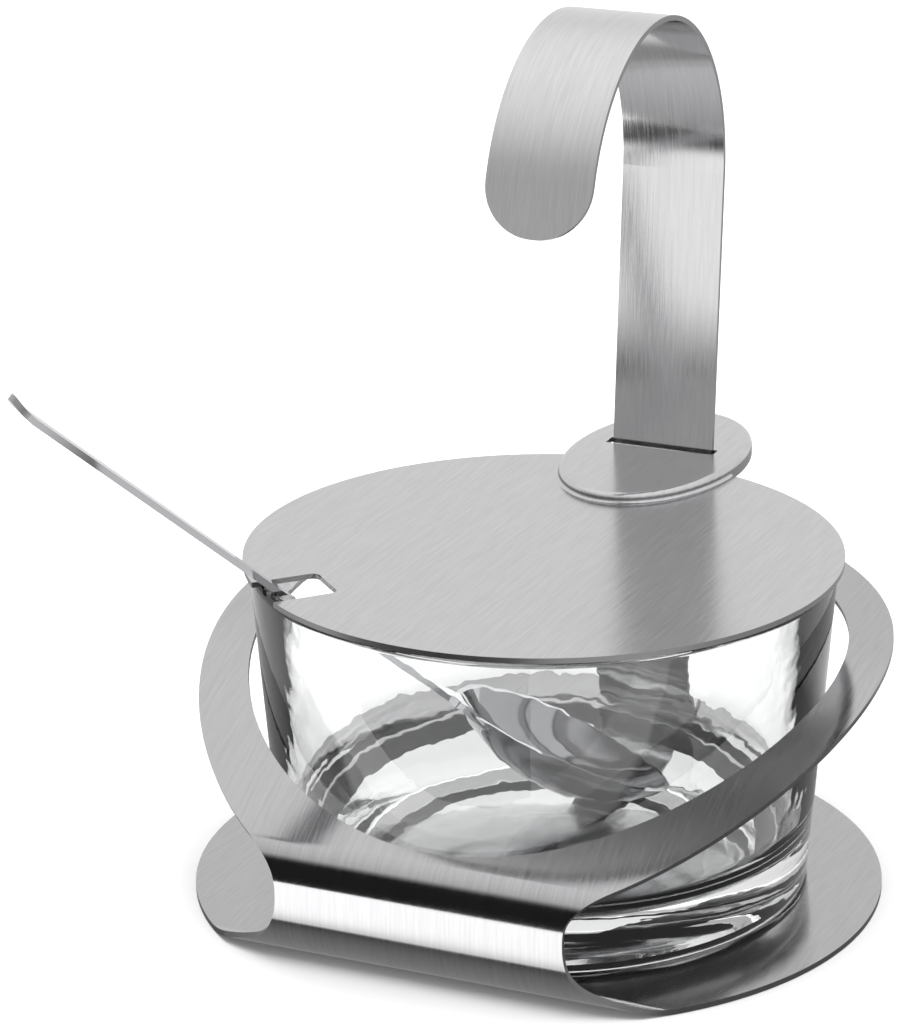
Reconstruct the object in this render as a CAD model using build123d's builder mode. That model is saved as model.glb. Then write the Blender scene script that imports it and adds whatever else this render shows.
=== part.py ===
from build123d import *
import os
from math import cos, radians, sin, sqrt, tan

# Sugar pot: a folded steel stand, a glass bowl, a lid that tilts on a flat post
# with a carrying hook, and a spoon. Millimetres, +Z up, front towards -Y.
# The origin is on the underside of the base, below the axis of the glass bowl.

# Steel sheet
sheet = 1.0

# Glass bowl
glass_height = 61.3
glass_foot_radius = 49.0
glass_rim_radius = 53.9
glass_wall = 2.8
glass_floor = 9.5
glass_inner_fillet = 7.0
glass_foot_fillet = 1.6
glass_rim_round = 1.2
glass_recess_radius = 40.0
glass_recess_depth = 0.6

# Lid
lid_overhang = 1.1
lid_seat_gap = 0.2
lobe_half_width = 17.1
lobe_half_length = 27.3
lobe_forward = 3.2
lobe_height = 1.75
lobe_edge_round = 1.1
lobe_foot_round = 0.6

# Post and carrying hook
post_width = 20.6
post_gap = 5.2
post_lean = 5.0
post_foot_bend = 1.5
post_foot_length = 4.6
hook_inner_radius = 33.0
hook_rise = 59.0
hook_end_slope = 19.0
hook_end_length = 11.0
hook_corner_round = 9.9
slot_side_gap = 0.8
lid_slot_front_gap = 1.9
lid_slot_rear_gap = 0.2
ring_slot_gap = 0.5

# Stand: base disc, roll and ring
ring_hole_front_gap = 0.4
ring_hole_side_gap = 3.5
ring_hole_rear_gap = 1.4
ring_side_band = 8.2
ring_rear_band = 10.0
ring_front_band = 5.9
ring_rear_drop = 11.2
ring_front_slope = 33.0
ring_rear_slope = 4.0
roll_lower_radius = 9.0
roll_wall = 6.5
roll_upper_radius = 9.0
neck_half_width = 29.0
neck_radius = 10.0
base_rear_margin = 1.0

# Spoon and its notch in the lid
spoon_bearing = 43.0
spoon_slope = 41.0
spoon_bowl_slope = 27.0
spoon_clearance = 0.3
spoon_thickness = 1.2
spoon_neck_width = 5.0
spoon_shoulder_width = 13.0
spoon_shoulder_length = 9.0
spoon_shoulder_depth = 4.0
spoon_end_width = 8.0
spoon_handle_length = 104.1
spoon_curl_radius = 14.0
spoon_curl_angle = 22.0
spoon_bowl_length = 47.6
spoon_bowl_width = 34.0
spoon_bowl_depth = 8.8
spoon_bowl_wall = 1.0
notch_side_gap = 1.5
notch_depth = 12.8
notch_corner = 1.5

# Heights
rim_top = sheet + glass_height
lid_bottom = rim_top + lid_seat_gap
lid_top = lid_bottom + sheet
lobe_top = lid_top + lobe_height
floor_top = sheet + glass_floor


def glass_radius(height):
    """Outer radius of the glass at a height above the underside of the base."""
    share = (height - sheet) / glass_height
    return glass_foot_radius + share * (glass_rim_radius - glass_foot_radius)


def post_front(height):
    """Y of the post's front face at a height."""
    return post_at_lid + (height - lid_top) * tan(radians(post_lean))


lid_radius = glass_rim_radius + lid_overhang
post_at_lid = glass_rim_radius + post_gap
post_depth = sheet / cos(radians(post_lean))
slot_half_width = post_width / 2 + slot_side_gap

# Ring: its rear stays a fixed drop below the lid, its hole clears the glass
roll_top = roll_lower_radius + roll_wall + roll_upper_radius * cos(radians(ring_front_slope))
ring_rear_top = lid_bottom - ring_rear_drop
hole_front = -(glass_radius(roll_top + 3 * sheet) + ring_hole_front_gap)
hole_side = glass_radius((roll_top + 2 * ring_rear_top) / 3) + ring_hole_side_gap
hole_rear = glass_radius(ring_rear_top) + ring_hole_rear_gap
hole_centre = (hole_front + hole_rear) / 2
hole_half_length = (hole_rear - hole_front) / 2
ring_radius = hole_side + ring_side_band
ring_rear = hole_rear + ring_rear_band
ring_centre = ring_rear - ring_radius

# Roll: its front wall stands before the front of the hole
roll_front = hole_front - ring_front_band
roll_start = roll_front + roll_lower_radius
ring_start = roll_front + roll_upper_radius * (1 - sin(radians(ring_front_slope)))

# Large arc and straight rear run that join the roll to the rear of the ring
run = ring_rear - ring_start
rise = ring_rear_top - roll_top
front_sin, front_cos = sin(radians(ring_front_slope)), cos(radians(ring_front_slope))
rear_sin, rear_cos = sin(radians(ring_rear_slope)), cos(radians(ring_rear_slope))
ring_arc_radius = (run * rear_sin - rise * rear_cos) / (
    (front_sin - rear_sin) * rear_sin - (rear_cos - front_cos) * rear_cos
)
ring_straight = (run - ring_arc_radius * (front_sin - rear_sin)) / rear_cos

# Base: as wide as the ring, its rear edge just behind the foot of the post
foot_bend_start = post_front(sheet) + post_foot_bend * (1 + sin(radians(post_lean)))
foot_end = foot_bend_start + post_foot_length
base_radius = ring_radius
base_rear = foot_end + base_rear_margin
base_centre = base_rear - base_radius
roll_middle = roll_lower_radius + roll_wall / 2

# Directions of the spoon: outwards, up along the handle, and up along its bowl
spoon_out = Vector(-sin(radians(spoon_bearing)), -cos(radians(spoon_bearing)), 0)
spoon_side = spoon_out.cross(Vector(0, 0, 1))
handle_dir = spoon_out * cos(radians(spoon_slope)) + Vector(0, 0, sin(radians(spoon_slope)))
bowl_dir = spoon_out * cos(radians(spoon_bowl_slope)) + Vector(0, 0, sin(radians(spoon_bowl_slope)))
bowl_normal = spoon_side.cross(bowl_dir)
handle_normal = spoon_side.cross(handle_dir)

# The handle lies over the rounded rim of the glass
rim_centre_radius = glass_rim_radius - glass_wall + glass_rim_round
rim_centre_height = rim_top - glass_rim_round
handle_offset = glass_rim_round + spoon_clearance + spoon_thickness / 2
handle_over_rim = (
    spoon_out * rim_centre_radius + Vector(0, 0, rim_centre_height) + handle_normal * handle_offset
)

# The tip of the bowl rests on the floor of the glass
bowl_arc_radius = ((spoon_bowl_length / 2) ** 2 + spoon_bowl_depth**2) / (2 * spoon_bowl_depth)
bowl_spin_radius = ((spoon_bowl_width / 2) ** 2 + spoon_bowl_depth**2) / (2 * spoon_bowl_depth)
bowl_axis_height = bowl_spin_radius - spoon_bowl_depth
bowl_height = (
    floor_top
    + spoon_clearance
    + bowl_arc_radius
    - (bowl_arc_radius - spoon_bowl_depth) * cos(radians(spoon_bowl_slope))
)
neck_height = bowl_height + spoon_bowl_length / 2 * sin(radians(spoon_bowl_slope))
neck = handle_over_rim + handle_dir * ((neck_height - handle_over_rim.Z) / handle_dir.Z)
bowl_centre = neck - bowl_dir * (spoon_bowl_length / 2)

os.makedirs("parts", exist_ok=True)

# Stand, one sheet: base disc, open roll at the front and sloping ring
with BuildPart() as stand:
    with BuildSketch(Plane.YZ):
        with BuildLine():
            flat = Line((base_rear + sheet, 0), (roll_start, 0))
            lower = JernArc(flat @ 1, flat % 1, roll_lower_radius, -90)
            wall = Line(lower @ 1, (roll_front, roll_lower_radius + roll_wall))
            upper = JernArc(wall @ 1, wall % 1, roll_upper_radius, ring_front_slope - 90)
            slope = JernArc(upper @ 1, upper % 1, ring_arc_radius, ring_rear_slope - ring_front_slope)
            rear = PolarLine(slope @ 1, ring_straight + sheet, direction=slope % 1)
            offset(amount=sheet, side=Side.RIGHT)
        make_face()
    extrude(amount=ring_radius + sheet, both=True)
    with BuildSketch(Plane.XY.offset(-sheet)):
        Rectangle(4 * base_radius, 4 * base_radius)
        with Locations((0, base_centre)):
            Circle(base_radius, mode=Mode.SUBTRACT)
    extrude(amount=sheet + roll_middle, mode=Mode.SUBTRACT)
    with BuildSketch(Plane.XY.offset(roll_middle)):
        Rectangle(4 * ring_radius, 4 * ring_radius)
        with Locations((0, ring_centre)):
            Circle(ring_radius, mode=Mode.SUBTRACT)
    extrude(amount=lid_bottom - roll_middle, mode=Mode.SUBTRACT)
    with BuildSketch(Plane.XY.offset(roll_middle)):
        with Locations((0, hole_centre)):
            Ellipse(hole_side, hole_half_length)
        with Locations((0, post_front(ring_rear_top) + post_depth / 2)):
            Rectangle(2 * slot_half_width, post_depth + 2 * ring_slot_gap)
    extrude(amount=lid_bottom - roll_middle, mode=Mode.SUBTRACT)
    with BuildSketch(Plane.XZ.offset(-roll_start)):
        with Locations(
            (neck_half_width + neck_radius, roll_middle), (-neck_half_width - neck_radius, roll_middle)
        ):
            Circle(neck_radius)
    extrude(amount=2 * roll_lower_radius, mode=Mode.SUBTRACT)
stand.part.label = "stand"

# Post: flat strip with a foot on the base and a carrying hook on top
with BuildPart() as post:
    with BuildSketch(Plane.YZ):
        with BuildLine():
            foot = Line((foot_end, sheet), (foot_bend_start, sheet))
            bend = JernArc(foot @ 1, foot % 1, post_foot_bend, -90 - post_lean)
            shaft_top = lid_top + hook_rise - hook_inner_radius * sin(radians(post_lean))
            shaft = Line(bend @ 1, (post_front(shaft_top), shaft_top))
            hook = JernArc(shaft @ 1, shaft % 1, hook_inner_radius, 180 + post_lean - hook_end_slope)
            PolarLine(hook @ 1, hook_end_length, direction=hook % 1)
            offset(amount=sheet, side=Side.RIGHT)
        make_face()
    extrude(amount=post_width / 2, both=True)
    tip_corners = post.edges().filter_by(
        lambda e: abs(e.length - sheet) < sheet / 100
        and e.center().Z > lid_top
        and abs(e.tangent_at(0).X) < 0.01
    )
    fillet(tip_corners, hook_corner_round)
post.part.label = "post"

# Glass bowl with a thick floor
with BuildPart() as glass:
    with BuildSketch(Plane.XZ):
        with BuildLine():
            inner_floor_radius = glass_radius(floor_top) - glass_wall
            Polyline(
                (0, sheet + glass_recess_depth),
                (glass_recess_radius, sheet + glass_recess_depth),
                (glass_recess_radius + glass_recess_depth, sheet),
                (glass_foot_radius, sheet),
                (glass_rim_radius, rim_top),
                (glass_rim_radius - glass_wall, rim_top),
                (inner_floor_radius, floor_top),
                (0, floor_top),
                close=True,
            )
        make_face()
        for corner, corner_radius in (
            ((glass_foot_radius, sheet), glass_foot_fillet),
            ((glass_rim_radius, rim_top), glass_rim_round),
            ((glass_rim_radius - glass_wall, rim_top), glass_rim_round),
            ((inner_floor_radius, floor_top), glass_inner_fillet),
        ):
            fillet(vertices().sort_by_distance((*corner, 0))[0], corner_radius)
    revolve(axis=Axis.Z)
glass.part.label = "glass"

# Lid: disc with a pressed oval lobe, a slot for the post and a notch for the spoon
with BuildPart() as lid:
    with BuildSketch(Plane.XY.offset(lid_bottom)):
        Circle(lid_radius)
    extrude(amount=sheet)
    lobe_centre = post_at_lid - lobe_forward
    with BuildSketch(Plane.XY.offset(lid_bottom)):
        with Locations((0, lobe_centre)):
            Ellipse(lobe_half_width, lobe_half_length)
    extrude(amount=sheet + lobe_height)
    fillet(lid.faces().sort_by(Axis.Z)[-1].edges(), lobe_edge_round)
    lobe_foot = lid.edges().filter_by(
        lambda e: abs(e.center().Z - lid_top) < sheet / 100 and e.geom_type != GeomType.CIRCLE
    )
    fillet(lobe_foot, lobe_foot_round)
    with BuildSketch(Plane.XY.offset(lid_bottom)):
        with Locations((0, lobe_centre)):
            Ellipse(lobe_half_width - sheet, lobe_half_length - sheet)
    extrude(amount=lobe_height, mode=Mode.SUBTRACT)
    slot_front = post_at_lid - lid_slot_front_gap
    slot_rear = post_front(lobe_top) + post_depth + lid_slot_rear_gap
    with BuildSketch(Plane.XY.offset(lid_bottom)):
        with Locations((0, (slot_front + slot_rear) / 2)):
            Rectangle(2 * slot_half_width, slot_rear - slot_front)
    extrude(amount=lobe_height + 2 * sheet, mode=Mode.SUBTRACT)
    notch_width = spoon_end_width + 2 * notch_side_gap
    with BuildSketch(Plane(origin=(0, 0, lid_bottom), x_dir=spoon_out, z_dir=(0, 0, 1))):
        with Locations((lid_radius, 0)):
            RectangleRounded(2 * notch_depth, notch_width, notch_corner)
    extrude(amount=sheet, mode=Mode.SUBTRACT)
lid.part.label = "lid"

# Handle of the spoon: flat strip with shoulders at the bowl and a round, lifted end
with BuildPart() as handle:
    with BuildSketch(Plane(origin=neck, x_dir=handle_dir, z_dir=spoon_side)):
        with BuildLine():
            below = Line((-spoon_shoulder_depth, 0), (spoon_handle_length, 0))
            curl = JernArc(below @ 1, below % 1, spoon_curl_radius, spoon_curl_angle)
            offset(amount=spoon_thickness / 2, side=Side.BOTH)
        make_face()
    extrude(amount=spoon_end_width, both=True)
    handle_end = spoon_handle_length + spoon_curl_radius * sin(radians(spoon_curl_angle))
    with BuildSketch(Plane(origin=neck, x_dir=handle_dir, z_dir=handle_normal)):
        end_half, neck_half = spoon_end_width / 2, spoon_neck_width / 2
        shoulder_half = spoon_shoulder_width / 2
        Polygon(
            (-spoon_shoulder_depth, -shoulder_half),
            (0, -neck_half),
            (handle_end - end_half, -end_half),
            (handle_end - end_half, end_half),
            (0, neck_half),
            (-spoon_shoulder_depth, shoulder_half),
            align=None,
        )
        waist = vertices().filter_by(lambda v: abs(v.X) < sheet / 100)
        fillet(waist, spoon_shoulder_length)
        with Locations((handle_end - end_half, 0)):
            Circle(end_half)
    extrude(amount=spoon_curl_radius, both=True, mode=Mode.INTERSECT)

# Spoon: turned bowl cut level at its rim, joined to the handle
bowl_plane = Plane(origin=bowl_centre, x_dir=bowl_dir, z_dir=spoon_side)
with BuildPart() as spoon:
    with BuildSketch(bowl_plane):
        with BuildLine():
            half = spoon_bowl_length / 2
            under = ThreePointArc((-half, 0), (0, -spoon_bowl_depth), (half, 0))
            Polyline(under @ 1, (half, bowl_axis_height), (-half, bowl_axis_height), under @ 0)
        make_face()
    revolve(axis=Axis(bowl_centre + bowl_normal * bowl_axis_height, bowl_dir))
    split(bisect_by=Plane(origin=bowl_centre, x_dir=bowl_dir, z_dir=bowl_normal), keep=Keep.BOTTOM)
    add(handle.part)
    with BuildSketch(bowl_plane):
        with BuildLine():
            inner = spoon_bowl_depth - spoon_bowl_wall
            half_in = sqrt(bowl_arc_radius**2 - (bowl_arc_radius - spoon_bowl_depth + spoon_bowl_wall) ** 2)
            cavity = ThreePointArc((-half_in, 0), (0, -inner), (half_in, 0))
            Polyline(cavity @ 1, (half_in, bowl_axis_height), (-half_in, bowl_axis_height), cavity @ 0)
        make_face()
    revolve(axis=Axis(bowl_centre + bowl_normal * bowl_axis_height, bowl_dir), mode=Mode.SUBTRACT)
spoon.part.label = "spoon"

export_step(stand.part, "parts/stand.step")
export_step(post.part, "parts/post.step")
export_step(glass.part, "parts/glass.step")
export_step(lid.part, "parts/lid.step")
export_step(spoon.part, "parts/spoon.step")
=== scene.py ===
import math

import bmesh
import bpy
from bpy.props import FloatProperty, FloatVectorProperty, IntProperty, PointerProperty
from mathutils import Matrix, Vector


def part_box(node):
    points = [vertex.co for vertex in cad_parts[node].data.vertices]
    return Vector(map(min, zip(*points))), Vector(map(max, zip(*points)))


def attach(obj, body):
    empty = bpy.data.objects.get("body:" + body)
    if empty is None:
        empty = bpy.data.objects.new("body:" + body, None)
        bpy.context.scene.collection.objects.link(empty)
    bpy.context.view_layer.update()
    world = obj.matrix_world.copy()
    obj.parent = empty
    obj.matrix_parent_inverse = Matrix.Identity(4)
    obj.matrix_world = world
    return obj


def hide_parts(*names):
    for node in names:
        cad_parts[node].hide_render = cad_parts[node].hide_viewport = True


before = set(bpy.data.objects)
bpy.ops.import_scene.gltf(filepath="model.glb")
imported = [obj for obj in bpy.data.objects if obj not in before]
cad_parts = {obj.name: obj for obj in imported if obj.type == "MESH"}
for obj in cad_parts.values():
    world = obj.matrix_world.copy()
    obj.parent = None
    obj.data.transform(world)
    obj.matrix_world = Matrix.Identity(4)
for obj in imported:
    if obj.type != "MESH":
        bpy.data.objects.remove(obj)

bl_info = {
    "name": "Sugar pot",
    "version": (1, 0, 0),
    "blender": (4, 5, 0),
    "location": "3D View > Sidebar > Sugar pot",
    "description": "Sugar pot with a folded steel stand, glass bowl, tilting lid, carrying hook and spoon",
    "category": "Add Mesh",
}


# Edges that get painted shade (a darker colour) and more roughness: the axis they face, and where the turn of
# the surface towards it begins and ends. The lid's shaded edges are those that turn away from Z.
POST_SHADED_EDGES = ("X", 0.25, 0.6)
LID_SHADED_EDGES = ("Z", 0.5, 0.2)

# Steps in the stand's outline: base or ring, roll, hole; and degrees between rows in a tight and a wide bend
DISC_STEPS, ROLL_STEPS, HOLE_STEPS = 72, 48, 160
TIGHT_ROWS, WIDE_ROWS, WIDE_BEND = 5, 1, 0.03

# Reflected floor, as places along or beside the pot: before the roll, behind the base, beside it, and under it
FLOOR_FRONT = (-0.070, -0.079)
FLOOR_BACK = (0.06, 0.12)
FLOOR_SIDE = (0.10, 0.14)
FLOOR_UNDER = (-0.070, -0.055)
FLOOR_SHADE = (0.10, 0.32)
CARD_EDGE = 0.005

# Pale walls: width of the front wall as an angle, and heights (0 level, 1 straight up) over which they brighten
FRONT_WIDTH = (1.25, 0.6)
WALL_RISE = (0.45, 0.9)
FRONT_RISE = (0.35, 1.05)

# Camera at the photograph's viewing angle
CAMERA_PLACE = (0.278528, -0.650946, 0.318237)
CAMERA_RIGHT = (0.91132, 0.41154, -0.01177)
CAMERA_BACK = (0.39206, -0.85877, 0.32986)


def length(name, description, default, lowest=0.0):
    """Property for a length in metres."""
    return FloatProperty(name=name, description=description, default=default, min=lowest, max=1, precision=5,
                         unit="LENGTH", subtype="DISTANCE")


def angle(name, description, degrees):
    """Property for an angle, given in degrees."""
    return FloatProperty(name=name, description=description, default=math.radians(degrees), min=0,
                         max=math.pi, unit="ROTATION", subtype="ANGLE")

class SteelFinish(bpy.types.PropertyGroup):
    sheet_colour: FloatVectorProperty(
        name="Sheet colour", description="Colour of the brushed sheet steel",
        subtype="COLOR", size=3, default=(0.50, 0.495, 0.503), min=0, max=1)
    sheet_roughness: FloatProperty(
        name="Sheet roughness", description="Softness of reflections in the brushed sheet",
        default=0.13, min=0, max=1)
    post_colour: FloatVectorProperty(
        name="Post colour", description="Colour of the brushed post and hook",
        subtype="COLOR", size=3, default=(0.68, 0.675, 0.68), min=0, max=1)
    # Painted shade: the colour of the shaded edges and steep sides is the steel colour times this
    painted_edge_shade: FloatProperty(
        name="Painted edge shade", description="Brightness of the cut sheet edges next to the brushed faces",
        default=0.35, min=0, max=1)
    edge_roughness: FloatProperty(
        name="Edge roughness", description="How much rougher the cut edges are than the faces",
        default=0.2, min=0, max=1)
    lid_colour: FloatVectorProperty(
        name="Lid colour", description="Colour of the brushed lid",
        subtype="COLOR", size=3, default=(0.63, 0.625, 0.635), min=0, max=1)
    lid_roughness: FloatProperty(
        name="Lid roughness", description="Softness of reflections in the lid", default=0.2, min=0, max=1)
    hairline_pitch: length("Hairline pitch", "Typical distance between two brushing lines", 0.00022, 0.00005)
    hairline_length: length("Hairline length", "Typical length of a brushing line", 0.006, 0.001)
    hairline_depth: length("Hairline depth", "Depth of the brushing lines", 0.000004)
    hairline_tint: FloatProperty(
        name="Hairline tint", description="How much the brushing lines lighten and darken the steel",
        default=0.06, min=0, max=0.5)
    hairline_gloss: FloatProperty(
        name="Hairline gloss", description="How much the brushing lines change the roughness",
        default=0.03, min=0, max=0.5)
    cloud_size: length("Cloud size", "Typical size of the faint cloudy marks", 0.03, 0.001)
    spoon_colour: FloatVectorProperty(
        name="Spoon colour", description="Colour of the polished spoon",
        subtype="COLOR", size=3, default=(0.40, 0.40, 0.412), min=0, max=1)
    spoon_roughness: FloatProperty(
        name="Spoon roughness", description="Softness of reflections in the spoon",
        default=0.06, min=0, max=1)


class GlassFinish(bpy.types.PropertyGroup):
    colour: FloatVectorProperty(
        name="Glass colour", description="Tint of the pressed glass",
        subtype="COLOR", size=3, default=(0.985, 0.992, 0.99), min=0, max=1)
    index: FloatProperty(
        name="Refraction", description="Index of refraction of the glass", default=1.5, min=1, max=2)
    wall: length("Wall", "Thickness of the glass wall at the rim", 0.0028, 0.001)
    floor: length("Floor", "Thickness of the glass under the sugar", 0.0095, 0.002)
    taper: length("Taper", "How much smaller the foot's radius is than the rim's", 0.0049)
    wave_height: length("Wave height", "Depth of the soft waves that pressing leaves inside", 0.0002)
    wave_width: length(
        "Wave width", "Typical width of those waves, up the wall and across the floor", 0.005, 0.001)
    wave_run: length("Wave run", "Typical length of those waves round the glass", 0.022, 0.001)
    rim_round: length("Rim round", "Radius of the rim's rounded edges", 0.0012)
    foot_round: length("Foot round", "Radius of the foot's rounded edge", 0.0016)
    inner_round: length("Inner round", "Radius of the inside between wall and floor", 0.007)
    recess: length("Recess", "Radius of the shallow recess under the foot", 0.040)
    recess_depth: length("Recess depth", "Depth of that recess", 0.0006)
    wave_seed: FloatProperty(name="Wave seed", description="Chooses another set of waves", default=3.0)
    segments: IntProperty(
        name="Segments", description="Steps round the glass", default=256, min=32, max=720)


class StandShape(bpy.types.PropertyGroup):
    sheet: length("Sheet", "Thickness of the sheet", 0.001)
    base_rear: length("Base rear", "How far behind the glass's axis the base ends", 0.060863)
    flat: length("Flat", "Length of the flat base from its rear edge to the roll", 0.109165)
    roll_radius: length("Roll radius", "Outer radius of both bends of the roll", 0.009)
    roll_wall: length("Roll wall", "Height of the upright wall between the bends", 0.0065)
    front_slope: angle("Front slope", "Slope of the ring where it leaves the roll", 33)
    rear_slope: angle("Rear slope", "Slope of the ring at its rear", 4)
    sweep_radius: length("Sweep radius", "Radius of the large bend along the ring", 0.15934)
    rear_run: length("Rear run", "Length of the ring's straight rear", 0.04206)
    neck_radius: length("Neck radius", "Radius of the round cut-outs beside the roll", 0.010)
    neck_soften: length("Neck soften", "How far the corners of the cut-outs are softened", 0.002)
    hole_side: length("Hole side", "Half width of the hole in the ring", 0.055768)
    hole_front: length("Hole front", "How far before the axis the hole begins", 0.0516)
    hole_rear: length("Hole rear", "How far behind the axis the hole ends", 0.054421)
    slot_side: length("Slot side", "Half width of the slot for the post", 0.0111)
    slot_front: length("Slot front", "Where the slot for the post begins", 0.05753)
    slot_rear: length("Slot rear", "Where the slot for the post ends", 0.05954)


class StudioLook(bpy.types.PropertyGroup):
    floor_colour: FloatVectorProperty(
        name="Floor colour", description="Colour of the pale floor",
        subtype="COLOR", size=3, default=(0.92, 0.92, 0.92), min=0, max=1)
    wall_light: FloatProperty(
        name="Wall light", description="Brightness of the pale walls", default=0.86, min=0, max=5)
    top_light: FloatProperty(
        name="Top light", description="Brightness straight above", default=1.05, min=0, max=5)
    front_light: FloatProperty(
        name="Front light", description="Brightness of the wall behind the camera", default=0.5, min=0, max=5)
    front_turn: FloatProperty(
        name="Front turn", description="Direction of the middle of that wall, from the front to the right",
        default=math.radians(-24), min=-math.pi, max=math.pi, unit="ROTATION", subtype="ANGLE")
    card_place: length(
        "Card distance", "How far the dark card stands in front of the pot's axis", 0.107, 0.08)
    card_middle: length(
        "Card middle", "How far to the right of the pot's axis the card's middle is", -0.028, -1)
    card_width: length("Card width", "Width of the dark card", 0.13, 0.01)
    card_height: length("Card height", "Height at which the dark card begins to fade", 0.05, 0.01)
    card_fade: length("Card fade", "Height over which the dark card fades out", 0.025, 0.001)
    near_glow: FloatProperty(
        name="Near glow", description="Brightness that steel reflects from the floor before the roll",
        default=2.0, min=0, max=5)
    far_glow: FloatProperty(
        name="Far glow", description="Brightness that steel reflects from the floor further out",
        default=1.15, min=0, max=5)
    floor_power: FloatProperty(
        name="Floor light", description="Power of the panel that lights only the floor",
        default=40.0, min=0, unit="POWER")
    lens: FloatProperty(
        name="Lens", description="Focal length of the camera", default=144.667, min=10, unit="CAMERA")


def new_material(name):
    material = bpy.data.materials.new(name)
    material.use_nodes = True
    nodes = material.node_tree.nodes
    return material, nodes, material.node_tree.links, nodes["Principled BSDF"]


def math_node(nodes, links, operation, first, second=0.5):
    node = nodes.new("ShaderNodeMath")
    node.operation = operation
    for socket, value in zip(node.inputs, (first, second)):
        if isinstance(value, bpy.types.NodeSocket):
            links.new(value, socket)
        else:
            socket.default_value = value
    return node.outputs[0]


def map_range(nodes, links, value, from_min, from_max, to_min, to_max, smooth=False):
    node = nodes.new("ShaderNodeMapRange")
    node.interpolation_type = "SMOOTHSTEP" if smooth else "LINEAR"
    links.new(value, node.inputs["Value"])
    for key, number in zip(("From Min", "From Max", "To Min", "To Max"), (from_min, from_max, to_min, to_max)):
        node.inputs[key].default_value = number
    return node.outputs["Result"]


def colour_socket(node, name, output=True):
    """A Mix node's socket of a name that is meant for colours."""
    sockets = node.outputs if output else node.inputs
    return next(socket for socket in sockets if socket.name == name and socket.type == "RGBA")


def brushed_steel(name, colour, roughness, finish, rough_shaded_edges=None):
    """Steel with fine hairlines along Y and Z, very faint cloudy marks and, where asked, edges that are rougher
    and have painted shade darkening their colour.

    Those edges are given as the axis that they face, and where the turn towards it begins and ends.
    """
    material, nodes, links, shader = new_material(name)
    place = nodes.new("ShaderNodeTexCoord")

    def streaks(across, along, detail):
        mapping = nodes.new("ShaderNodeMapping")
        mapping.inputs["Scale"].default_value = (1 / across, 1 / along, 1 / along)
        links.new(place.outputs["Object"], mapping.inputs["Vector"])
        texture = nodes.new("ShaderNodeTexNoise")
        texture.inputs["Scale"].default_value = 1.0
        texture.inputs["Detail"].default_value = detail
        links.new(mapping.outputs["Vector"], texture.inputs["Vector"])
        return texture.outputs["Fac"]

    fine = streaks(finish.hairline_pitch, finish.hairline_length, 2.0)
    wide = streaks(finish.hairline_pitch * 3, finish.hairline_length * 2, 3.0)
    clouds = streaks(finish.cloud_size, finish.cloud_size, 2.0)
    bump = nodes.new("ShaderNodeBump")
    bump.inputs["Strength"].default_value = 1.0
    bump.inputs["Distance"].default_value = finish.hairline_depth
    links.new(math_node(nodes, links, "ADD", fine, math_node(nodes, links, "MULTIPLY", wide, 0.4)),
              bump.inputs["Height"])
    links.new(bump.outputs["Normal"], shader.inputs["Normal"])
    rough = math_node(nodes, links, "ADD",
                      map_range(nodes, links, fine, 0.3, 0.7, roughness - finish.hairline_gloss,
                                roughness + finish.hairline_gloss),
                      map_range(nodes, links, clouds, 0.3, 0.7, -0.015, 0.02))
    tint = nodes.new("ShaderNodeMix")
    tint.data_type = "RGBA"
    both = math_node(nodes, links, "MULTIPLY", math_node(nodes, links, "ADD", fine, wide), 0.5)
    links.new(map_range(nodes, links, both, 0.35, 0.65, 0.0, 1.0), tint.inputs["Factor"])
    colour_socket(tint, "A", False).default_value = (*(c * (1 - finish.hairline_tint) for c in colour), 1)
    colour_socket(tint, "B", False).default_value = (
        *(min(c * (1 + finish.hairline_tint), 1) for c in colour), 1)
    tinted = colour_socket(tint, "Result")
    # Painted shade: where the surface turns towards the given axis the colour is darkened, and the roughness
    # rises there
    if rough_shaded_edges:
        axis, begins, ends = rough_shaded_edges
        facing = nodes.new("ShaderNodeSeparateXYZ")
        links.new(place.outputs["Normal"], facing.inputs["Vector"])
        turned = math_node(nodes, links, "ABSOLUTE", facing.outputs[axis])
        cut = map_range(nodes, links, turned, begins, ends, 0.0, 1.0, True)
        rougher = math_node(nodes, links, "MULTIPLY", cut, finish.edge_roughness)
        rough = math_node(nodes, links, "ADD", rough, rougher)
        shade = nodes.new("ShaderNodeMix")
        shade.data_type = "RGBA"
        links.new(cut, shade.inputs["Factor"])
        links.new(tinted, colour_socket(shade, "A", False))
        colour_socket(shade, "B", False).default_value = (*(c * finish.painted_edge_shade for c in colour), 1)
        tinted = colour_socket(shade, "Result")
    links.new(rough, shader.inputs["Roughness"])
    links.new(tinted, shader.inputs["Base Color"])
    shader.inputs["Metallic"].default_value = 1.0
    return material


def polished_steel(name, colour, roughness):
    """Polished steel with faint smears."""
    material, nodes, links, shader = new_material(name)
    place = nodes.new("ShaderNodeTexCoord")
    texture = nodes.new("ShaderNodeTexNoise")
    texture.inputs["Scale"].default_value = 90.0
    texture.inputs["Detail"].default_value = 3.0
    links.new(place.outputs["Object"], texture.inputs["Vector"])
    links.new(map_range(nodes, links, texture.outputs["Fac"], 0.3, 0.7, roughness * 0.8, roughness * 1.3),
              shader.inputs["Roughness"])
    shader.inputs["Base Color"].default_value = (*colour, 1)
    shader.inputs["Metallic"].default_value = 1.0
    return material


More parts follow.
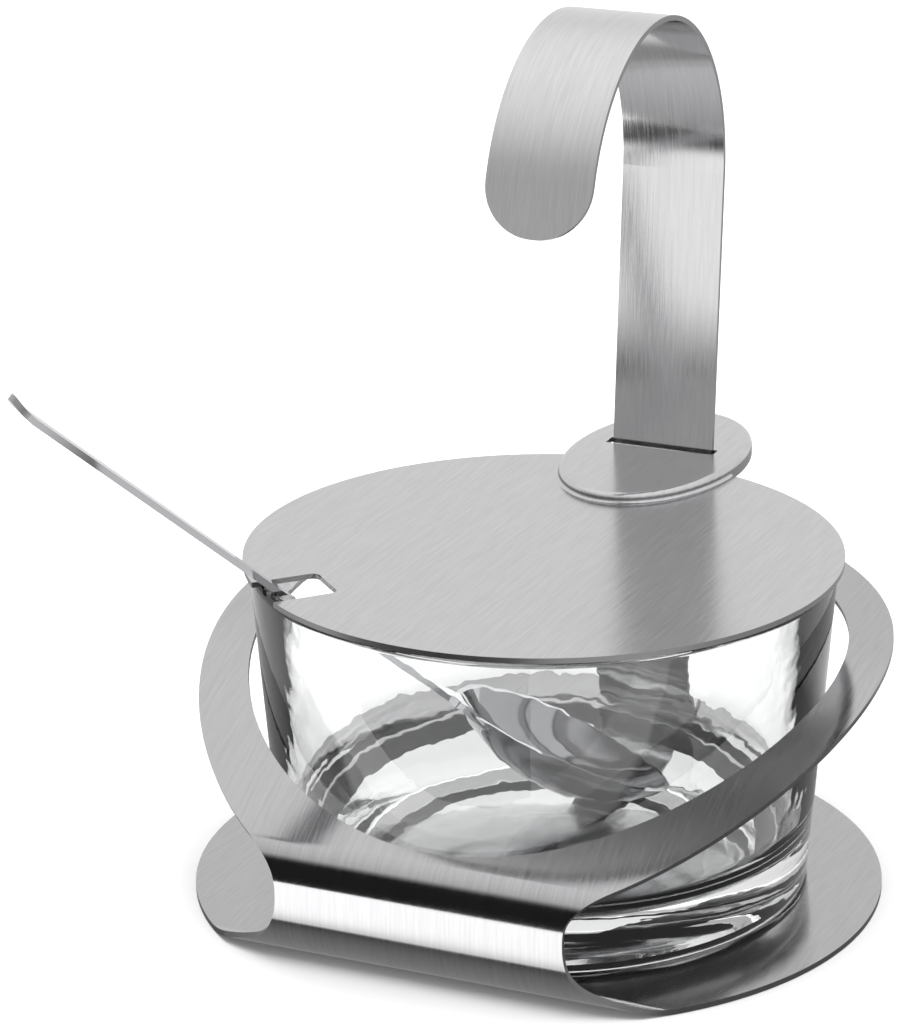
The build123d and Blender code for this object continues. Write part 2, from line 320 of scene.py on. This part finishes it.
def clear_glass(name, colour, index):
    """Clear pressed glass with very faint surface waves."""
    material, nodes, links, shader = new_material(name)
    place = nodes.new("ShaderNodeTexCoord")
    texture = nodes.new("ShaderNodeTexNoise")
    texture.inputs["Scale"].default_value = 120.0
    links.new(place.outputs["Object"], texture.inputs["Vector"])
    bump = nodes.new("ShaderNodeBump")
    bump.inputs["Strength"].default_value = 0.25
    bump.inputs["Distance"].default_value = 0.0003
    links.new(texture.outputs["Fac"], bump.inputs["Height"])
    links.new(bump.outputs["Normal"], shader.inputs["Normal"])
    shader.inputs["Base Color"].default_value = (*colour, 1)
    shader.inputs["Roughness"].default_value = 0.0
    shader.inputs["IOR"].default_value = index
    shader.inputs["Transmission Weight"].default_value = 1.0
    return material


def dress(node, material):
    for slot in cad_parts[node].material_slots:
        slot.material = material


def input_of(tree, name):
    """Identifier of a tree's named input."""
    return next(item.identifier for item in tree.interface.items_tree
                if item.item_type == "SOCKET" and item.in_out == "INPUT" and item.name == name)


def lathe_tree():
    """Turns a half section round Z and lets soft waves dent the inside of the wall and floor."""
    tree = bpy.data.node_groups.new("Lathe with waves", "GeometryNodeTree")
    tree.interface.new_socket("Section", in_out="INPUT", socket_type="NodeSocketGeometry")
    for name, kind in (("Path radius", "NodeSocketFloat"), ("Wave height", "NodeSocketFloat"),
                       ("Wave width", "NodeSocketFloat"), ("Wave run", "NodeSocketFloat"),
                       ("Inner limit", "NodeSocketFloat"),
                       ("Floor height", "NodeSocketFloat"), ("Segments", "NodeSocketInt"),
                       ("Seed", "NodeSocketFloat"), ("Finish", "NodeSocketMaterial")):
        tree.interface.new_socket(name, in_out="INPUT", socket_type=kind)
    tree.interface.new_socket("Glass", in_out="OUTPUT", socket_type="NodeSocketGeometry")
    nodes, links = tree.nodes, tree.links
    given, result = nodes.new("NodeGroupInput"), nodes.new("NodeGroupOutput")

    section = nodes.new("GeometryNodeMeshToCurve")
    links.new(given.outputs["Section"], section.inputs["Mesh"])
    path = nodes.new("GeometryNodeCurvePrimitiveCircle")
    links.new(given.outputs["Segments"], path.inputs["Resolution"])
    links.new(given.outputs["Path radius"], path.inputs["Radius"])
    turned = nodes.new("GeometryNodeCurveToMesh")
    links.new(path.outputs["Curve"], turned.inputs["Curve"])
    links.new(section.outputs["Curve"], turned.inputs["Profile Curve"])
    closed = nodes.new("GeometryNodeMergeByDistance")
    closed.inputs["Distance"].default_value = 0.00001
    links.new(turned.outputs["Mesh"], closed.inputs["Geometry"])

    position = nodes.new("GeometryNodeInputPosition")
    parts = nodes.new("ShaderNodeSeparateXYZ")
    links.new(position.outputs["Position"], parts.inputs["Vector"])
    flat = nodes.new("ShaderNodeCombineXYZ")
    links.new(parts.outputs["X"], flat.inputs["X"])
    links.new(parts.outputs["Y"], flat.inputs["Y"])
    reach = nodes.new("ShaderNodeVectorMath")
    reach.operation = "LENGTH"
    links.new(flat.outputs["Vector"], reach.inputs[0])
    within = math_node(nodes, links, "LESS_THAN", reach.outputs["Value"], given.outputs["Inner limit"])
    above = math_node(nodes, links, "GREATER_THAN", parts.outputs["Z"], given.outputs["Floor height"])
    inside = math_node(nodes, links, "MULTIPLY", within, above)
    noise = nodes.new("ShaderNodeTexNoise")
    noise.noise_dimensions = "4D"
    noise.inputs["Detail"].default_value = 1.0
    noise.inputs["Scale"].default_value = 1.0
    links.new(given.outputs["Seed"], noise.inputs["W"])
    round_it = nodes.new("ShaderNodeVectorMath")
    round_it.operation = "NORMALIZE"
    links.new(flat.outputs["Vector"], round_it.inputs[0])
    along = nodes.new("ShaderNodeVectorMath")
    along.operation = "SCALE"
    links.new(round_it.outputs["Vector"], along.inputs[0])
    links.new(math_node(nodes, links, "DIVIDE", given.outputs["Inner limit"], given.outputs["Wave run"]),
              along.inputs["Scale"])
    across = nodes.new("ShaderNodeCombineXYZ")
    links.new(math_node(nodes, links, "DIVIDE",
                        math_node(nodes, links, "ADD", parts.outputs["Z"], reach.outputs["Value"]),
                        given.outputs["Wave width"]), across.inputs["Z"])
    place = nodes.new("ShaderNodeVectorMath")
    place.operation = "ADD"
    links.new(along.outputs["Vector"], place.inputs[0])
    links.new(across.outputs["Vector"], place.inputs[1])
    links.new(place.outputs["Vector"], noise.inputs["Vector"])
    depth = math_node(nodes, links, "MULTIPLY",
                      math_node(nodes, links, "MULTIPLY", noise.outputs["Fac"], inside),
                      given.outputs["Wave height"])
    normal = nodes.new("GeometryNodeInputNormal")
    push = nodes.new("ShaderNodeVectorMath")
    push.operation = "SCALE"
    links.new(normal.outputs["Normal"], push.inputs[0])
    links.new(depth, push.inputs["Scale"])
    waved = nodes.new("GeometryNodeSetPosition")
    links.new(closed.outputs["Geometry"], waved.inputs["Geometry"])
    links.new(push.outputs["Vector"], waved.inputs["Offset"])
    smooth = nodes.new("GeometryNodeSetShadeSmooth")
    links.new(waved.outputs["Geometry"], smooth.inputs["Geometry"])
    real = nodes.new("GeometryNodeRealizeInstances")
    links.new(smooth.outputs["Geometry"], real.inputs["Geometry"])
    finish = nodes.new("GeometryNodeSetMaterial")
    links.new(real.outputs["Geometry"], finish.inputs["Geometry"])
    links.new(given.outputs["Finish"], finish.inputs["Material"])
    links.new(finish.outputs["Geometry"], result.inputs["Glass"])
    return tree


def rounded(corners, steps=7):
    """Points of an open line whose inner corners are rounded; corners are (x, z, radius)."""
    points = [Vector(corners[0][:2])]
    for before, corner, after in zip(corners, corners[1:], corners[2:]):
        here, radius = Vector(corner[:2]), corner[2]
        back, on = (Vector(before[:2]) - here).normalized(), (Vector(after[:2]) - here).normalized()
        if radius == 0:
            points.append(here)
            continue
        half = back.angle(on) / 2
        centre = here + (back + on).normalized() * radius / math.sin(half)
        start = here + back * radius / math.tan(half) - centre
        end = here + on * radius / math.tan(half) - centre
        sweep = start.angle(end)
        for step in range(steps + 1):
            share = step / steps
            points.append(centre + (start * math.sin((1 - share) * sweep) + end * math.sin(share * sweep))
                          / math.sin(sweep))
    points.append(Vector(corners[-1][:2]))
    return points


def fold(runs, start, along, depth):
    """Y, Z and heading on the bent sheet, at a length along its outer face and a depth under it."""
    (y, z), heading = start, math.pi
    for number, (length_here, turn) in enumerate(runs):
        step = along if number == len(runs) - 1 else min(along, length_here)
        if turn:
            radius = length_here / turn
            y += radius * math.sin(heading)
            z -= radius * math.cos(heading)
            heading -= step / radius
            y -= radius * math.sin(heading)
            z += radius * math.cos(heading)
        else:
            y += step * math.cos(heading)
            z += step * math.sin(heading)
        along -= step
        if along <= 0:
            break
    return y + depth * math.sin(heading), z - depth * math.cos(heading), heading


def sheet_outlines(shape, runs, start, radius, ring_rear):
    """Outline, hole and slot of the unfolded sheet, as (x, length along the sheet)."""
    total = sum(run[0] for run in runs)
    roll_from = runs[0][0]
    roll_to = sum(run[0] for run in runs[:4])
    base_centre, ring_centre = shape.base_rear - radius, ring_rear - radius
    middle = shape.roll_radius + shape.roll_wall / 2
    neck_y = start[0] - shape.flat - shape.roll_radius
    neck_middle = math.sqrt(radius ** 2 - (neck_y - ring_centre) ** 2) + shape.neck_radius

    def along_at(y):
        low, high = roll_from + shape.roll_radius * math.pi / 2, total
        for _ in range(40):
            half = (low + high) / 2
            low, high = (half, high) if fold(runs, start, half, 0)[0] < y else (low, half)
        return half

    def half_width(along):
        y, z, _ = fold(runs, start, along, 0)
        centre = base_centre if z < middle else ring_centre
        width = math.sqrt(max(radius ** 2 - (y - centre) ** 2, 0))
        if abs(z - middle) < shape.neck_radius:
            width = min(width, neck_middle - math.sqrt(shape.neck_radius ** 2 - (z - middle) ** 2))
        return width

    def softened(along):
        offsets = [shape.neck_soften * (k / 4 - 1) for k in range(9)]
        return sum(half_width(along + offset) for offset in offsets) / len(offsets)

    base_turn = math.acos((start[0] - shape.flat - base_centre) / radius)
    ring_turn = math.acos((fold(runs, start, roll_to, 0)[0] - ring_centre) / radius)
    side = []
    for k in range(1, DISC_STEPS):
        turn = base_turn * k / DISC_STEPS
        side.append((radius * math.sin(turn), shape.base_rear - base_centre - radius * math.cos(turn)))
    for k in range(ROLL_STEPS + 1):
        along = roll_from + (roll_to - roll_from) * k / ROLL_STEPS
        side.append((softened(along), along))
    for k in range(DISC_STEPS - 1, 0, -1):
        turn = ring_turn * k / DISC_STEPS
        side.append((radius * math.sin(turn), along_at(ring_centre + radius * math.cos(turn))))
    outline = [(0, 0), *side, (0, along_at(ring_rear))] + [(-x, along) for x, along in reversed(side)]
    hole_middle = (shape.hole_rear - shape.hole_front) / 2
    hole_half = (shape.hole_rear + shape.hole_front) / 2
    hole = [(shape.hole_side * math.sin(turn), along_at(hole_middle - hole_half * math.cos(turn)))
            for turn in (2 * math.pi * k / HOLE_STEPS for k in range(HOLE_STEPS))]
    slot = [(x, along_at(y)) for x, y in (
        (-shape.slot_side, shape.slot_front), (shape.slot_side, shape.slot_front),
        (shape.slot_side, shape.slot_rear), (-shape.slot_side, shape.slot_rear))]
    return outline, hole, slot


def folded_sheet(shape, radius, ring_rear):
    """Mesh of the stand: cut flat with its hole and slot, then bent along its length."""
    runs = ((shape.flat, 0), (shape.roll_radius * math.pi / 2, math.pi / 2), (shape.roll_wall, 0),
            (shape.roll_radius * (math.pi / 2 - shape.front_slope), math.pi / 2 - shape.front_slope),
            (shape.sweep_radius * (shape.front_slope - shape.rear_slope), shape.front_slope - shape.rear_slope),
            (shape.rear_run, 0))
    start = (shape.base_rear, 0.0)
    form = bmesh.new()
    for loop in sheet_outlines(shape, runs, start, radius, ring_rear):
        points = [form.verts.new((x, along, 0)) for x, along in loop]
        for here, following in zip(points, points[1:] + points[:1]):
            form.edges.new((here, following))
    bmesh.ops.triangle_fill(form, edges=form.edges[:], use_beauty=True, normal=(0, 0, 1))
    place, rows = 0.0, []
    for length_here, turn in runs:
        step = math.radians(TIGHT_ROWS if length_here < WIDE_BEND else WIDE_ROWS)
        count = max(1, round(turn / step)) if turn else 1
        rows += [place + length_here * k / count for k in range(count)]
        place += length_here
    for row in rows[1:]:
        bmesh.ops.bisect_plane(form, geom=form.verts[:] + form.edges[:] + form.faces[:], dist=1e-7,
                               plane_co=(0, row, 0), plane_no=(0, 1, 0))
    bmesh.ops.triangulate(form, faces=form.faces[:])
    form.verts.index_update()
    for face in form.faces:
        if face.normal.z < 0:
            face.normal_flip()
    count = len(form.verts)
    points, normals = [], []
    for depth in (0, shape.sheet):
        for vertex in form.verts:
            y, z, heading = fold(runs, start, vertex.co.y, depth)
            points.append((vertex.co.x, y, z))
            outward = Vector((0, -math.sin(heading), math.cos(heading)))
            normals.append(outward if depth == 0 else -outward)
    faces = [[vertex.index for vertex in face.verts] for face in form.faces]
    faces += [[vertex.index + count for vertex in reversed(face.verts)] for face in form.faces]
    flat_faces = len(faces)
    for edge in form.edges:
        if edge.is_boundary:
            loop = edge.link_loops[0]
            first, second = loop.vert.index, loop.link_loop_next.vert.index
            faces.append([second, first, first + count, second + count])
    form.free()
    mesh = bpy.data.meshes.new("Folded sheet")
    mesh.from_pydata(points, [], faces)
    mesh.polygons.foreach_set("use_smooth", [True] * len(faces))
    mesh.polygons.foreach_set("material_index", [0 if k < flat_faces else 1 for k in range(len(faces))])
    mesh.update()
    corner_normals = [normals[index] if face.index < flat_faces else face.normal
                      for face in mesh.polygons for index in face.vertices]
    mesh.normals_split_custom_set([tuple(normal) for normal in corner_normals])
    return mesh


def soft_panel(context, name, place, size, power):
    """Rectangular light at a place, turned towards the pot."""
    data = bpy.data.lights.new(name, "AREA")
    data.shape = "RECTANGLE"
    data.size, data.size_y = size
    data.energy = power
    panel = bpy.data.objects.new(name, data)
    panel.matrix_world = Matrix.Translation(place) @ Vector(place).to_track_quat("Z", "Y").to_matrix().to_4x4()
    context.scene.collection.objects.link(panel)
    return panel


def light_only(panel, receiver):
    """Let a panel light one object and no other."""
    lit = bpy.data.collections.new(panel.name + " lights")
    lit.objects.link(receiver)
    panel.light_linking.receiver_collection = lit


def mirrored(nodes, links):
    """1 for what is seen in a reflection, and 0 for what is seen directly or through the glass."""
    path = nodes.new("ShaderNodeLightPath")
    straight = math_node(nodes, links, "SUBTRACT", 1.0, path.outputs["Is Transmission Ray"])
    return math_node(nodes, links, "MULTIPLY", path.outputs["Is Glossy Ray"], straight)


def dark_card(context, look):
    """Low dark card before the roll that shows only in reflections."""
    top, y = look.card_height + look.card_fade, -look.card_place
    left, right = look.card_middle - look.card_width / 2, look.card_middle + look.card_width / 2
    mesh = bpy.data.meshes.new("Dark card")
    mesh.from_pydata([(left, y, 0), (right, y, 0), (right, y, top), (left, y, top)], [], [(0, 1, 2, 3)])
    material, nodes, links, shader = new_material("Dark card")
    place = nodes.new("ShaderNodeTexCoord")
    split = nodes.new("ShaderNodeSeparateXYZ")
    links.new(place.outputs["Object"], split.inputs["Vector"])
    solid = map_range(nodes, links, split.outputs["Z"], look.card_height, top, 1.0, 0.0, True)
    links.new(math_node(nodes, links, "MULTIPLY", solid, mirrored(nodes, links)), shader.inputs["Alpha"])
    shader.inputs["Base Color"].default_value = (0.02, 0.02, 0.02, 1)
    shader.inputs["Roughness"].default_value = 0.9
    shader.inputs["Specular IOR Level"].default_value = 0.0
    mesh.materials.append(material)
    card = bpy.data.objects.new("Dark_card", mesh)
    context.scene.collection.objects.link(card)
    card.visible_camera = card.visible_diffuse = card.visible_transmission = card.visible_shadow = False


class POT_OT_stand(bpy.types.Operator):
    """Cut, fold and brush the sheet of the stand: base, open roll and ring"""

    bl_idname = "pot.stand"
    bl_label = "Stand"

    def execute(self, context):
        steel, shape = context.scene.pot_steel, context.scene.pot_stand
        low, high = (Vector(corner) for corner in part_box("stand"))
        ring_rear = high.y - shape.sheet * math.sin(shape.rear_slope)
        mesh = folded_sheet(shape, high.x, ring_rear)
        # The sheet's cut rim faces get a rougher steel whose colour is darkened as painted shade
        painted_shade_edge_colour = [value * steel.painted_edge_shade for value in steel.sheet_colour]
        mesh.materials.append(brushed_steel("Brushed sheet", steel.sheet_colour, steel.sheet_roughness, steel))
        mesh.materials.append(brushed_steel("Cut edge with painted shade", painted_shade_edge_colour,
                                            steel.sheet_roughness + steel.edge_roughness, steel))
        sheet = bpy.data.objects.new("Folded_sheet", mesh)
        context.scene.collection.objects.link(sheet)
        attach(sheet, "stand")
        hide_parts("stand")
        return {"FINISHED"}


class POT_OT_post(bpy.types.Operator):
    """Brush the flat post and its carrying hook along their length"""

    bl_idname = "pot.post"
    bl_label = "Post and hook"

    def execute(self, context):
        steel = context.scene.pot_steel
        # Painted shade: the post's edges facing X get a darker colour
        dress("post", brushed_steel("Brushed strip", steel.post_colour, steel.sheet_roughness, steel,
                                    POST_SHADED_EDGES))
        return {"FINISHED"}


class POT_OT_glass(bpy.types.Operator):
    """Turn the pressed glass bowl, with soft waves inside"""

    bl_idname = "pot.glass"
    bl_label = "Glass bowl"

    def execute(self, context):
        look = context.scene.pot_glass
        low, high = (Vector(corner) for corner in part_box("glass"))
        rim = (high.x - low.x) / 2 + look.taper * look.rim_round / (high.z - low.z)
        foot = rim - look.taper
        inner_foot = foot + look.taper * look.floor / (high.z - low.z) - look.wall
        section = rounded((
            (0, low.z + look.recess_depth, 0), (look.recess, low.z + look.recess_depth, 0),
            (look.recess + look.recess_depth, low.z, 0), (foot, low.z, look.foot_round),
            (rim, high.z, look.rim_round), (rim - look.wall, high.z, look.rim_round),
            (inner_foot, low.z + look.floor, look.inner_round), (0, low.z + look.floor, 0)))
        path_radius = rim / 2
        mesh = bpy.data.meshes.new("Glass section")
        mesh.from_pydata([(p.x - path_radius, -p.y, 0) for p in section],
                         [(k, k + 1) for k in range(len(section) - 1)], [])
        source = bpy.data.objects.new("Glass section", mesh)
        context.scene.collection.objects.link(source)
        tree = lathe_tree()
        modifier = source.modifiers.new("Lathe", "NODES")
        modifier.node_group = tree
        finish = clear_glass("Pressed glass", look.colour, look.index)
        for name, value in (("Path radius", path_radius), ("Wave height", look.wave_height),
                            ("Wave width", look.wave_width), ("Wave run", look.wave_run),
                            ("Inner limit", rim - look.wall * 0.9),
                            ("Floor height", low.z + look.floor * 0.8), ("Segments", look.segments),
                            ("Seed", look.wave_seed), ("Finish", finish)):
            modifier[input_of(tree, name)] = value
        context.view_layer.update()
        turned = bpy.data.meshes.new_from_object(source.evaluated_get(context.evaluated_depsgraph_get()))
        bpy.data.objects.remove(source)
        form = bmesh.new()
        form.from_mesh(turned)
        bmesh.ops.remove_doubles(form, verts=form.verts, dist=0.00001)
        bmesh.ops.recalc_face_normals(form, faces=form.faces)
        form.to_mesh(turned)
        form.free()
        turned.name = "Glass bowl"
        bowl = bpy.data.objects.new("Glass_bowl", turned)
        context.scene.collection.objects.link(bowl)
        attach(bowl, "stand")
        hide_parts("glass")
        return {"FINISHED"}


class POT_OT_lid(bpy.types.Operator):
    """Brush the pressed lid"""

    bl_idname = "pot.lid"
    bl_label = "Lid"

    def execute(self, context):
        steel = context.scene.pot_steel
        # Painted shade: the lid's steep sides and rims get a darker colour
        dress("lid", brushed_steel("Brushed lid", steel.lid_colour, steel.lid_roughness, steel, LID_SHADED_EDGES))
        return {"FINISHED"}


class POT_OT_spoon(bpy.types.Operator):
    """Polish the spoon"""

    bl_idname = "pot.spoon"
    bl_label = "Spoon"

    def execute(self, context):
        steel = context.scene.pot_steel
        dress("spoon", polished_steel("Polished steel", steel.spoon_colour, steel.spoon_roughness))
        return {"FINISHED"}


class POT_OT_stage(bpy.types.Operator):
    """Set up the pale floor, the soft light and the camera"""

    bl_idname = "pot.stage"
    bl_label = "Stage"

    def execute(self, context):
        look = context.scene.pot_studio
        floor_mesh = bpy.data.meshes.new("Floor")
        form = bmesh.new()
        bmesh.ops.create_circle(form, cap_ends=True, segments=96, radius=4.0)
        bmesh.ops.translate(form, verts=form.verts, vec=(0, 0, -0.0001))
        form.to_mesh(floor_mesh)
        form.free()
        floor = bpy.data.objects.new("Floor", floor_mesh)
        context.scene.collection.objects.link(floor)
        material, nodes, links, shader = new_material("Pale floor")
        shader.inputs["Base Color"].default_value = (*look.floor_colour, 1)
        shader.inputs["Roughness"].default_value = 0.9
        shader.inputs["Specular IOR Level"].default_value = 0.2
        place = nodes.new("ShaderNodeTexCoord")
        split = nodes.new("ShaderNodeSeparateXYZ")
        links.new(place.outputs["Object"], split.inputs["Vector"])
        along = split.outputs["Y"]
        card = -look.card_place
        glow = map_range(nodes, links, along, card - CARD_EDGE, card, look.far_glow, look.near_glow, True)
        open_front = map_range(nodes, links, along, *FLOOR_FRONT, 0.0, 1.0, True)
        open_back = map_range(nodes, links, along, *FLOOR_BACK, 0.0, 1.0, True)
        open_side = map_range(nodes, links, math_node(nodes, links, "ABSOLUTE", split.outputs["X"]),
                              *FLOOR_SIDE, 0.0, 1.0, True)
        before = math_node(nodes, links, "MULTIPLY", glow, open_front)
        around = math_node(nodes, links, "MULTIPLY", math_node(nodes, links, "MAXIMUM", open_back, open_side),
                           look.wall_light)
        reflected = nodes.new("ShaderNodeEmission")
        shade = map_range(nodes, links, along, *FLOOR_UNDER, *FLOOR_SHADE)
        lit = math_node(nodes, links, "MAXIMUM", before, around)
        links.new(math_node(nodes, links, "MAXIMUM", lit, shade), reflected.inputs["Strength"])
        either = nodes.new("ShaderNodeMixShader")
        links.new(mirrored(nodes, links), either.inputs["Fac"])
        links.new(shader.outputs["BSDF"], either.inputs[1])
        links.new(reflected.outputs["Emission"], either.inputs[2])
        links.new(either.outputs["Shader"], nodes["Material Output"].inputs["Surface"])
        floor_mesh.materials.append(material)

        dark_card(context, look)
        floor_panel = soft_panel(context, "Floor panel", (0.0, 0.1, 1.8), (2.4, 2.4), look.floor_power)
        light_only(floor_panel, floor)

        world = bpy.data.worlds.new("Studio")
        context.scene.world = world
        world.use_nodes = True
        nodes, links = world.node_tree.nodes, world.node_tree.links
        backdrop = nodes["Background"]
        place = nodes.new("ShaderNodeTexCoord")
        split = nodes.new("ShaderNodeSeparateXYZ")
        links.new(place.outputs["Generated"], split.inputs[0])
        height = split.outputs["Z"]
        turn = math_node(nodes, links, "ARCTAN2", split.outputs["X"],
                         math_node(nodes, links, "MULTIPLY", split.outputs["Y"], -1.0))
        aside = math_node(nodes, links, "ABSOLUTE",
                          math_node(nodes, links, "SUBTRACT", turn, look.front_turn))
        front = map_range(nodes, links, aside, *FRONT_WIDTH, 0.0, 1.0, True)
        wall = map_range(nodes, links, height, *WALL_RISE, look.wall_light, look.top_light, True)
        facing_wall = map_range(nodes, links, height, *FRONT_RISE, look.front_light, look.top_light, True)
        strength = nodes.new("ShaderNodeMix")
        links.new(front, strength.inputs["Factor"])
        links.new(wall, strength.inputs["A"])
        links.new(facing_wall, strength.inputs["B"])
        path = nodes.new("ShaderNodeLightPath")
        seen = nodes.new("ShaderNodeMix")
        links.new(path.outputs["Is Camera Ray"], seen.inputs["Factor"])
        links.new(strength.outputs["Result"], seen.inputs["A"])
        seen.inputs["B"].default_value = 1.0
        links.new(seen.outputs["Result"], backdrop.inputs["Strength"])
        backdrop.inputs["Color"].default_value = (1, 1, 1, 1)

        camera_data = bpy.data.cameras.new("Camera")
        camera_data.lens = look.lens
        camera_data.clip_start, camera_data.clip_end = 0.05, 20
        camera = bpy.data.objects.new("Camera", camera_data)
        right, back = Vector(CAMERA_RIGHT).normalized(), Vector(CAMERA_BACK).normalized()
        up = back.cross(right)
        camera.matrix_world = Matrix.Translation(CAMERA_PLACE) @ Matrix(
            (right, up, back)).transposed().to_4x4()
        context.scene.collection.objects.link(camera)
        context.scene.camera = camera
        context.scene.view_settings.view_transform = "Standard"
        return {"FINISHED"}


class POT_PT_panel(bpy.types.Panel):
    bl_label = "Sugar pot"
    bl_idname = "POT_PT_panel"
    bl_space_type = "VIEW_3D"
    bl_region_type = "UI"
    bl_category = "Sugar pot"

    def draw(self, context):
        scene = context.scene
        for group in (scene.pot_stand, scene.pot_steel, scene.pot_glass, scene.pot_studio):
            box = self.layout.box()
            for key in group.__annotations__:
                box.prop(group, key)
        for operator in operators:
            self.layout.operator(operator.bl_idname)


groups = {"pot_stand": StandShape, "pot_steel": SteelFinish, "pot_glass": GlassFinish, "pot_studio": StudioLook}
operators = (POT_OT_stand, POT_OT_post, POT_OT_glass, POT_OT_lid, POT_OT_spoon, POT_OT_stage)


def register():
    for cls in (*groups.values(), *operators, POT_PT_panel):
        bpy.utils.register_class(cls)
    for name, group in groups.items():
        setattr(bpy.types.Scene, name, PointerProperty(type=group))


def unregister():
    for name in groups:
        delattr(bpy.types.Scene, name)
    for cls in reversed((*groups.values(), *operators, POT_PT_panel)):
        bpy.utils.unregister_class(cls)


def main():
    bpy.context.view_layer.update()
    register()
    bpy.ops.pot.stand()
    bpy.ops.pot.post()
    bpy.ops.pot.glass()
    bpy.ops.pot.lid()
    bpy.ops.pot.spoon()
    bpy.ops.pot.stage()


if __name__ == "__main__":
    main()
